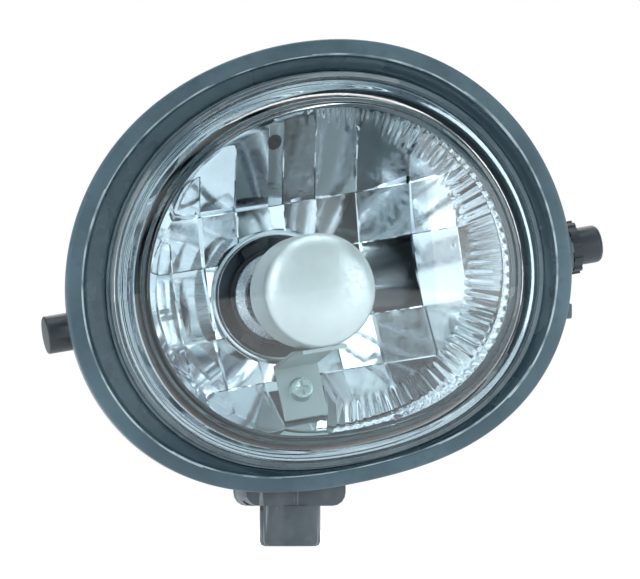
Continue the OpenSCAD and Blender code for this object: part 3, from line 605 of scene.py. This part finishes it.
def lens():
    """The clear cover: a domed face with ribs inside, a tall side and a foot in the rim's groove."""
    dome = 4.6
    thick = 2.4
    # Shares of the face's radius where its rings lie, closest together where the ribs begin
    shares = [0.955, 0.9, 0.84, 0.8, 0.775, 0.755, 0.735, 0.72, 0.68, 0.6, 0.5, 0.38, 0.25, 0.12, 0.03]
    face = [0.985, 0.972, *shares]
    outside = [(APEX_Y + dome * t * t, FACE_R * t, FACE_SHARE * t, *FACE_C, 0) for t in reversed(shares)]
    rows = outside + [
        (SHOULDER_Y - 0.05, FACE_R - 1.5, FACE_SHARE, *FACE_C, 0.25),
        (SHOULDER_Y + 0.3, FACE_R - 1.2, FACE_SHARE, *FACE_C, 0.15),
        (SHOULDER_Y + 0.4, FACE_R - 0.3, FACE_SHARE, *FACE_C, 0.4),
        (SHOULDER_Y + 2.0, FACE_R + 0.5, FACE_SHARE, *FACE_C, 0.6),
        (SHOULDER_Y + 3.2, FACE_R + 0.9, FACE_SHARE, *FACE_C, 0.5),
        (RIM_Y - 1, FOOT_R - 1.4, FOOT_SHARE, *FOOT_C, 0.6),
        (RIM_Y - 0.2, FOOT_R, FOOT_SHARE, *FOOT_C, 0.5),
        (GROOVE_Y - 0.6, FOOT_R, FOOT_SHARE, *FOOT_C, 0.2),
        (GROOVE_Y - 0.6, FOOT_R - 2.2, FOOT_SHARE, *FOOT_C, 0.2),
        (RIM_Y + 1.2, FOOT_R - 2.2, FOOT_SHARE, *FOOT_C, 0.5),
        (RIM_Y + 0.2, FOOT_R - 3.4, FOOT_SHARE, *FOOT_C, 0.5),
        (SHOULDER_Y + thick + 1.4, FACE_R - thick - 0.5, FACE_SHARE, *FACE_C, 0.7),
    ]
    inner_r = FACE_R - thick
    smooth = softened(rows, closed=False)
    first = len(smooth)
    smooth += [Vector((APEX_Y + thick + dome * t * t, inner_r * t, FACE_SHARE * t, *FACE_C)) for t in face]

    def ribs(j, angle):
        if j < first:
            return 0
        wave = abs(math.cos(RIBS / 2 * angle))
        return RIB_DEPTH * (wave - 0.6) * rib_share(angle, face[j - first])

    made = loft("lens_clear", smooth, False, RIBS * 7, ribs, 50)
    made.visible_shadow = False
    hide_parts("lens")
    return dress(made, "lens", "clear_lens", "lamp")


# ---------------------------------------------------------------- reflector

REACH = BOWL_C[0] + outline(0, BOWL_R, FACE_SHARE)
BOWL_DEPTH = 27
BOWL_SLOPE = -2 * BOWL_DEPTH / (REACH ** 2 - HOLE_R ** 2)
VENT_R = 1.6
VENT_X = -3.8
VENT_Z = HOLE_R + 20.3


def bowl_y(q):
    """Place along the beam of the bowl's paraboloid at a distance from the beam."""
    return HOLE_Y - BOWL_DEPTH * (q * q - HOLE_R ** 2) / (REACH ** 2 - HOLE_R ** 2)


# Facet boundaries across and up the reflector, before it is rolled
COLUMNS = [-47, -34, -24.5, -16, -7, 0.7, 4.1, 11.3, 20, 30.5, 39, 49]
ROWS = [-47, -33, -19, -7.5, 9, 20.5, 48]


# What each facet mirrors, from the top row down and from left to right: p a pale part of the room,
# n a dark part, g from pale to dark and h from dark to pale
LOOKS = (
    "pppppnggghp",
    "pgpnpppnhnp",
    "phpnppnhnhp",
    "ppphnpgphpp",
    "pppgppphgpp",
    "ppppppppppp",
)
PHASES = {"p": 0.0, "g": 0.28, "n": 0.52, "h": 0.72}

# How much of the bowl's own curve each kind of facet keeps
FOLLOWS = {"p": 0.4, "n": 0.3, "g": 0.6, "h": 0.6}

# The room's stripes: their spacing and the place of a pale one, as the sine of the angle from the beam
STRIPE = 0.4
PALE_AT = 0.2
VIEW = Vector((0.216, 0.976, 0.035))


def mirrored(across, up):
    """Where along the room's stripes a facet with these slopes reflects the view from the front."""
    normal = Vector((across, -1, up)).normalized()
    return (VIEW - 2 * VIEW.dot(normal) * normal).x


def aimed(across, up, look):
    """The slope nearest to a facet's own with which its middle mirrors the wanted stripe."""
    wanted = PALE_AT - STRIPE * PHASES[look]
    target = wanted + STRIPE * round((mirrored(across, up) - wanted) / STRIPE)
    small, least_rate, longest_step = 0.001, 0.3, 0.1
    for _ in range(6):
        here = mirrored(across, up)
        rate = (mirrored(across + small, up) - here) / small
        if abs(rate) > least_rate:
            across += max(-longest_step, min(longest_step, (target - here) / rate))
    return across


def facets():
    """Yields each facet as (u0, u1, v0, v1, extra slope across, extra slope up, share of the bowl)."""
    steepest, tip = 0.16, 0.03
    for r, (v0, v1) in enumerate(zip(ROWS, ROWS[1:])):
        for c, (u0, u1) in enumerate(zip(COLUMNS, COLUMNS[1:])):
            look = LOOKS[len(LOOKS) - 1 - r][c]
            own, up = BOWL_SLOPE * (u0 + u1) / 2, BOWL_SLOPE * (v0 + v1) / 2
            across = max(-steepest, min(steepest, aimed(own, up, look) - own))
            yield u0, u1, v0, v1, across, tip * math.cos(2 * c + r), FOLLOWS[look]


def facet_y(u, v, facet):
    """Place along the beam of a point of a facet, between its flat plane and the bowl."""
    u0, u1, v0, v1, across, up, follow = facet
    uc, vc = (u0 + u1) / 2, (v0 + v1) / 2
    du, dv = u - uc, v - vc
    flat = bowl_y(math.hypot(uc, vc)) + BOWL_SLOPE * (uc * du + vc * dv)
    return (1 - follow) * flat + follow * bowl_y(math.hypot(u, v)) + across * du + up * dv


def faceted_skin():
    """The bowl as a thick sheet whose front is a grid of facets with small steps between them."""
    bm = bmesh.new()
    fine_u, fine_v, edge, sheet = 14, 8, 0.12, 1.8
    cells = list(facets())
    across = len(COLUMNS) - 1
    us, vs = [], []
    for c in range(across):
        u0, u1 = COLUMNS[c] + edge, COLUMNS[c + 1] - edge
        us += [(c, u0 + (u1 - u0) * i / fine_u) for i in range(fine_u + 1)]
    for r in range(len(ROWS) - 1):
        v0, v1 = ROWS[r] + edge, ROWS[r + 1] - edge
        vs += [(r, v0 + (v1 - v0) * i / fine_v) for i in range(fine_v + 1)]
    front, back = [], []
    for r, v in vs:
        ahead = [facet_y(u, v, cells[r * across + c]) for c, u in us]
        front.append([bm.verts.new((us[i][1], ahead[i], v)) for i in range(len(us))])
        back.append([bm.verts.new((us[i][1], ahead[i] + sheet, v)) for i in range(len(us))])
    for side in (front, back):
        for low, high in zip(side, side[1:]):
            for i in range(len(us) - 1):
                bm.faces.new((low[i], low[i + 1], high[i + 1], high[i]))
    borders = [(front[0], back[0]), (front[-1], back[-1]),
               ([row[0] for row in front], [row[0] for row in back]),
               ([row[-1] for row in front], [row[-1] for row in back])]
    for a, b in borders:
        for i in range(len(a) - 1):
            bm.faces.new((a[i], a[i + 1], b[i + 1], b[i]))
    bm.transform(Matrix.Rotation(-ROLL, 4, "Y"))
    return finished("reflector_bowl", bm, 25)


def bare_backs_and_vent_shade(bowl):
    """Only the front of the bowl is metallised: its back and the walls of its holes are bare plastic. Their
    near-black colour is also painted shade, for the dark inside the vent.
    """
    bowl.data.materials.append(MATERIALS["base"])
    for face in bowl.data.polygons:
        x, y, z = face.center / MM
        in_hole = math.hypot(x, z) < HOLE_R + 0.1
        in_vent = math.hypot(x - VENT_X, z - VENT_Z) < VENT_R + 0.1
        # Near-black here is partly painted shade that keeps the vent dark
        if in_hole or in_vent or face.normal.y > 0.3:
            face.material_index = 1


def reflector():
    """The faceted bowl cut to the rim's outline, its stepped edge and the neck of the bulb's hole."""
    bowl = faceted_skin()
    past_y = HOLE_Y + 9
    ends = [(BOWL_Y - 8, BOWL_R, FACE_SHARE, *BOWL_C), (past_y, BOWL_R, FACE_SHARE, *BOWL_C)]
    mould = loft("mould", [Vector(end) for end in ends], False, 240)
    combine(bowl, [mould], "INTERSECT", 7)
    hole = turned("hole", [(BOWL_Y, 0), (BOWL_Y, HOLE_R), (past_y, HOLE_R), (past_y, 0)])
    vent = turned("vent", [(BOWL_Y, 0), (BOWL_Y, VENT_R), (past_y, VENT_R), (past_y, 0)], steps=40,
                  place=Matrix.Translation((VENT_X, 0, VENT_Z)))
    combine(bowl, [hole, vent], "DIFFERENCE", 7)
    edge_y = BOWL_Y + 9
    flange_r = INNER_R - 0.3
    skirt = loft("reflector_edge", softened([
        (BOWL_Y, BOWL_R - 0.1, FACE_SHARE, *BOWL_C, 0.3),
        (BOWL_Y, BOWL_R + 0.9, FACE_SHARE, *BOWL_C, 0.3),
        (BOWL_Y + 0.9, BOWL_R + 1.3, FACE_SHARE, *BOWL_C, 0.3),
        (BOWL_Y + 1.2, BOWL_R + 2.4, FACE_SHARE, *BOWL_C, 0.3),
        (BOWL_Y + 2.1, BOWL_R + 2.7, FACE_SHARE, *BOWL_C, 0.3),
        (BOWL_Y + 2.4, flange_r, FOOT_SHARE, *FOOT_C, 0.3),
        (BOWL_Y + 3.2, flange_r, FOOT_SHARE, *FOOT_C, 0.2),
        (BOWL_Y + 3.4, BOWL_R + 1.3, FACE_SHARE, *BOWL_C, 0.3),
        (edge_y + 2, BOWL_R + 1.3, FACE_SHARE, *BOWL_C),
        (edge_y, BOWL_R - 0.1, FACE_SHARE, *BOWL_C),
    ]), steps=240)
    neck = turned("reflector_neck", [
        (HOLE_Y - 1.2, HOLE_R, 0.3), (HOLE_Y - 1.2, HOLE_R + 1.2, 0.3), (HOLE_Y + 2.4, HOLE_R + 1.2),
        (HOLE_Y + 2.4, HOLE_R)], closed=True)
    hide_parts("reflector")
    for piece in (bowl, skirt, neck):
        dress(piece, "chrome", "reflector_chrome", "lamp")
    bare_backs_and_vent_shade(bowl)


# ---------------------------------------------------------------- glare cap, strap and screw

def glare_cap():
    """The cup over the bulb, thin sheet with a squarish round edge."""
    sheet, drop, square = 0.8, 5.0, 1.15
    arc = [math.radians(4 + 86 * i / 15) for i in range(16)]
    power = 1 / square
    outside = [(CAP_Y + drop * (1 - math.cos(a) ** power), CAP_R * math.sin(a) ** power) for a in arc]
    inside = [(y + sheet, max(r - sheet, 0.2)) for y, r in reversed(outside)]
    body = [(CAP_Y, 0.01), *outside, (CAP_BACK, CAP_R, 0.25), (CAP_BACK, CAP_R - sheet, 0.25), *inside]
    made = turned("glare_cap_cup", body, sharp=60)
    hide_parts("glare_cap")
    return dress(made, "cap", "satin_cap", "lamp")


def threaded(name, y0, y1, radius, pitch, depth, steps=40, place=None):
    """A rod along the beam whose surface is one long thread of the given pitch and depth."""
    bm = bmesh.new()
    count = round((y1 - y0) / pitch * 8)
    rings = []
    for j in range(count + 1):
        y = y0 + (y1 - y0) * j / count
        ring = []
        for i in range(steps):
            angle = 2 * math.pi * i / steps
            along = ((y - y0) / pitch - i / steps) % 1
            r = radius - depth * min(1, abs(2 * along - 1) * 1.3)
            ring.append(bm.verts.new((r * math.cos(angle), y, r * math.sin(angle))))
        rings.append(ring)
    for ring, following in zip(rings, rings[1:]):
        for i in range(steps):
            k = (i + 1) % steps
            bm.faces.new((ring[i], ring[k], following[k], following[i]))
    bm.faces.new(rings[0])
    bm.faces.new(reversed(rings[-1]))
    if place:
        bm.transform(place)
    return finished(name, bm, 50)


def aim_screw():
    """The screw with its thread and ball, standing for the plain CAD rod."""
    low, high = lowest("aim_screw"), highest("aim_screw")
    ball_r = (high.x - low.x) / 2
    screw_r = 2
    ball_y, axis_z = high.y - ball_r, (low.z + high.z) / 2
    place = Matrix.Translation((0, 0, axis_z))
    rod = threaded("aim_screw_thread", low.y, ball_y - ball_r * 0.6, screw_r, 1.5, 0.22, place=place)
    arc = [math.radians(2 + 176 * i / 24) for i in range(25)]
    ball = turned("aim_screw_ball", [(ball_y - ball_r * math.cos(a), ball_r * math.sin(a)) for a in arc],
                  steps=64, sharp=60, place=place)
    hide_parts("aim_screw")
    for piece in (rod, ball):
        dress(piece, "steel", "pin_steel", "aim")


def filament():
    """A coil of tungsten wire, standing for the plain CAD rod."""
    low, high = lowest("bulb_filament"), highest("bulb_filament")
    wire, turns, around, sides = 0.11, 9, 20, 6
    radius = high.x - wire
    bm = bmesh.new()
    rings = []
    for j in range(turns * around + 1):
        angle = 2 * math.pi * j / around
        y = low.y + wire + (high.y - low.y - 2 * wire) * j / (turns * around)
        ring = []
        for i in range(sides):
            turn = 2 * math.pi * i / sides
            r = radius + wire * math.cos(turn)
            ring.append(bm.verts.new((r * math.cos(angle), y + wire * math.sin(turn), r * math.sin(angle))))
        rings.append(ring)
    for ring, following in zip(rings, rings[1:]):
        for i in range(sides):
            k = (i + 1) % sides
            bm.faces.new((ring[i], ring[k], following[k], following[i]))
    bm.faces.new(rings[0])
    bm.faces.new(reversed(rings[-1]))
    made = finished("filament_coil", bm, 60)
    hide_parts("bulb_filament")
    dress(made, "tungsten", "tungsten", "bulb")


def finish_cad_nodes():
    """Rounded copies of the CAD nodes that show, and plain finishes for the rest."""
    for node, look, slot, body, bevel in (
            ("cap_strap", "strap", "satin_strap", "lamp", 0.12),
            ("strap_screw", "zinc", "zinc_screw", "lamp", 0.1),
            ("left_bush", "bush", "bush_rubber", "left_bush", 0.25),
            ("right_bush", "bush", "bush_rubber", "right_bush", 0.25),
            ("gear_case", "case", "case_plastic", "lamp", 0.35),
            ("gear_cover", "case", "case_plastic", "lamp", 0.2),
            ("case_screws", "zinc", "zinc_screw", "lamp", 0.1),
            ("cover_screws", "zinc", "zinc_screw", "lamp", 0.1),
            ("reflector_screws", "zinc", "zinc_screw", "lamp", 0.12),
            ("bulb_base", "base", "bulb_plastic", "bulb", 0.25),
            ("bulb_socket", "socket", "socket_plastic", "lamp", 0.2),
            ("breather_cap", "seal", "seal_rubber", "lamp", 0.3),
            ("drive_shaft", "steel", "pin_steel", "drive", 0.1)):
        dress(refined(node, f"{node}_fine", bevel), look, slot, body)
    for node, look in (
            ("lens_seal", "sealant"), ("left_pin", "steel"), ("right_pin", "steel"), ("drive_pinion", "gear"),
            ("drive_seal", "seal"), ("gear_nut", "gear"), ("aim_key", "gear"),
            ("aim_seal", "seal"), ("bulb_glass", "glass"),
            ("bulb_wires", "steel"), ("bulb_collar", "steel"), ("bulb_seal", "silicone"),
            ("bulb_terminals", "brass"), ("breather_disc", "membrane")):
        dress(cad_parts[node], look)


# ---------------------------------------------------------------- studio

def room():
    """A bright striped room that chrome and glass reflect, plain white behind the lamp."""
    world = bpy.data.worlds.new("studio")
    bpy.context.scene.world = world
    world.use_nodes = True
    tree = world.node_tree
    tree.nodes.clear()
    out = tree.nodes.new("ShaderNodeOutputWorld")

    # Plain white for what is seen directly, stripes for what is mirrored
    seen = tree.nodes.new("ShaderNodeBackground")
    seen.inputs[0].default_value = (1, 1, 1, 1)
    stripes = tree.nodes.new("ShaderNodeBackground")
    mix = tree.nodes.new("ShaderNodeMixShader")
    path = tree.nodes.new("ShaderNodeLightPath")

    # A stripe's share, from 0 to 1, of a direction measured across the rolled room
    where = tree.nodes.new("ShaderNodeTexCoord")
    across = tree.nodes.new("ShaderNodeVectorMath")
    across.operation = "DOT_PRODUCT"
    across.inputs[1].default_value = (math.cos(ROLL), 0, math.sin(ROLL))
    phase = tree.nodes.new("ShaderNodeMath")
    phase.operation = "MULTIPLY_ADD"
    phase.inputs[1].default_value = 1 / STRIPE
    phase.inputs[2].default_value = 3 - PALE_AT / STRIPE
    turn = tree.nodes.new("ShaderNodeMath")
    turn.operation = "FRACT"
    tree.links.new(where.outputs["Generated"], across.inputs[0])
    tree.links.new(across.outputs["Value"], phase.inputs[0])
    tree.links.new(phase.outputs[0], turn.inputs[0])

    # Each stripe goes from nearly white through teal to navy and back
    ramp = tree.nodes.new("ShaderNodeValToRGB")
    tree.links.new(turn.outputs[0], ramp.inputs[0])
    bright, pale, teal, navy = (0.9, 1, 1), (0.74, 0.83, 0.87), (0.24, 0.35, 0.42), (0.022, 0.04, 0.07)
    stops = ((0.0, bright), (0.24, pale), (0.36, teal), (0.44, navy), (0.6, navy), (0.67, teal),
             (0.77, pale), (1.0, bright))
    while len(ramp.color_ramp.elements) < len(stops):
        ramp.color_ramp.elements.new(0.5)
    for element, (at, colour) in zip(ramp.color_ramp.elements, stops):
        element.position = at
        element.color = (*colour, 1)
    tree.links.new(ramp.outputs[0], stripes.inputs[0])
    stripes.inputs[1].default_value = 0.92
    tree.links.new(path.outputs["Is Camera Ray"], mix.inputs[0])
    tree.links.new(stripes.outputs[0], mix.inputs[1])
    tree.links.new(seen.outputs[0], mix.inputs[2])
    tree.links.new(mix.outputs[0], out.inputs[0])


def lights():
    """Five softboxes aimed at the lamp."""
    for name, at, size, power in (
            ("key", (0.72, -0.72, 0.14), (0.7, 0.7), 3.6),
            ("fill", (-0.85, -0.5, 0.3), (0.4, 0.8), 2.6),
            ("top", (0.0, -0.1, 0.9), (0.9, 0.5), 3.5),
            ("edge", (0.75, 1.05, 0.12), (0.45, 0.9), 5),
            ("back", (0.2, 0.9, 0.75), (0.8, 0.5), 5)):
        data = bpy.data.lights.new(name, "AREA")
        data.shape, data.size, data.size_y = "RECTANGLE", size[0], size[1]
        data.energy = power
        lamp = bpy.data.objects.new(name, data)
        lamp.location = at
        lamp.rotation_euler = (-Vector(at)).to_track_quat("-Z", "Y").to_euler()
        lamp.visible_camera = False
        bpy.context.scene.collection.objects.link(lamp)


def pale_floor():
    """A large pale sheet under the lamp."""
    floor_z = cad_box[0].z
    bm = bmesh.new()
    side = 4.0 / MM
    signs = ((-1, -1), (1, -1), (1, 1), (-1, 1))
    bm.faces.new([bm.verts.new((x * side, y * side, floor_z / MM)) for x, y in signs])
    floor = finished("floor", bm)
    white = Shader("floor_paper", (0.5, 0.5, 0.51), 0.9, Emission_Color=(1, 1, 1, 1), Emission_Strength=0.8)
    white.mottle((0.46, 0.47, 0.48), white.ramp(white.noise(3, 3), 0.0, 0.5))
    floor.data.materials.append(white.material)


def camera():
    """A long lens, a little left of the beam and just below the lamp's middle."""
    azimuth, elevation, distance = math.radians(-12.5), math.radians(-2), 1.4
    target = Vector((0.0038, -0.012, 0.0007))
    back = Vector((math.sin(azimuth) * math.cos(elevation), -math.cos(azimuth) * math.cos(elevation),
                   math.sin(elevation)))
    width_seen, sensor = 0.14144, 36
    data = bpy.data.cameras.new("camera")
    data.sensor_width = sensor
    data.lens = sensor * distance / width_seen
    data.clip_end = 100
    view = bpy.data.objects.new("camera", data)
    view.location = target + back * distance
    view.rotation_euler = (-back).to_track_quat("-Z", "Y").to_euler()
    bpy.context.scene.collection.objects.link(view)
    bpy.context.scene.camera = view


bpy.context.scene.view_settings.view_transform = "Standard"
camera()
room()
lights()
pale_floor()
housing()
lens()
reflector()
glare_cap()
aim_screw()
filament()
finish_cad_nodes()
